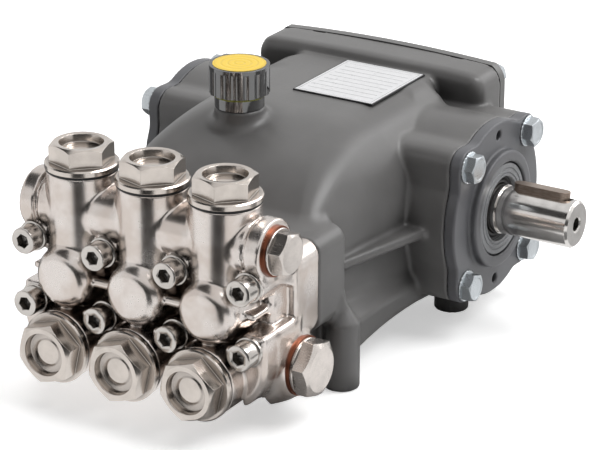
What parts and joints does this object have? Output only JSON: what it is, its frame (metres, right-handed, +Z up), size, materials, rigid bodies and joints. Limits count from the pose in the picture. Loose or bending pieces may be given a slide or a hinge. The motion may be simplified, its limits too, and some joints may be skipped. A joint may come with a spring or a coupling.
{
  "type": "triplex plunger pump",
  "caption": "High-pressure plunger pump: cast crankcase on feet, keyed drive shaft, bearing covers, oil filler, and a forged manifold with delivery and suction valves.",
  "frame": {"origin": "on the floor, in the middle of the four feet", "axes": "+X along the crankshaft towards the driven end, +Y from the manifold back to the rear cover, +Z up"},
  "size_m": [0.2313, 0.2721, 0.1385],
  "materials": {
    "housing_paint": "satin dark grey paint on cast aluminium",
    "nickel": "nickel-plated forged brass, satin",
    "cap_nickel": "nickel-plated brass, satin",
    "shaft_steel": "ground steel",
    "bearing_steel": "ground steel",
    "seal_rubber": "moulded rubber over a steel case",
    "black_rubber": "smooth",
    "copper": "copper, smooth",
    "black_plastic": "gloss",
    "yellow_plastic": "gloss",
    "seal_ring_green": "smooth",
    "zinc_steel": "zinc-plated",
    "sight_lens": "clear",
    "plate_white": "white lacquer"
  },
  "bodies": {
    "housing": {"crankcase": "housing_paint", "rear_cover": "housing_paint", "sight_glass_ring": "zinc_steel", "sight_glass_lens": "sight_lens", "drain_plug": "zinc_steel", "drain_plug_washer": "copper", "filler_cap": "black_plastic", "filler_cap_disc": "yellow_plastic", "filler_cap_seal": "seal_ring_green", "bearing_cover_right": "housing_paint", "bearing_cover_left": "housing_paint", "drive_end_bearing": "bearing_steel", "shaft_oil_seal": "seal_rubber", "manifold": "nickel", "delivery_valve_cap_1": "cap_nickel", "delivery_valve_cap_2": "cap_nickel", "delivery_valve_cap_3": "cap_nickel", "suction_valve_cap_1": "cap_nickel", "suction_valve_cap_2": "cap_nickel", "suction_valve_cap_3": "cap_nickel", "delivery_cap_seals": "black_rubber", "suction_cap_seals": "black_rubber", "delivery_port_plug": "cap_nickel", "delivery_plug_washer": "copper", "suction_port_plug": "cap_nickel", "suction_plug_washer": "copper", "nameplate": "plate_white"},
    "crankshaft": {"crankshaft": "shaft_steel", "shaft_key": "shaft_steel"}
  },
  "joints": [
    {"name": "crankshaft_spin", "type": "hinge", "parent": "housing", "child": "crankshaft", "pos_m": [0.1, 0.0555, 0.06], "axis": [1, 0, 0], "continuous": true}
  ]
}
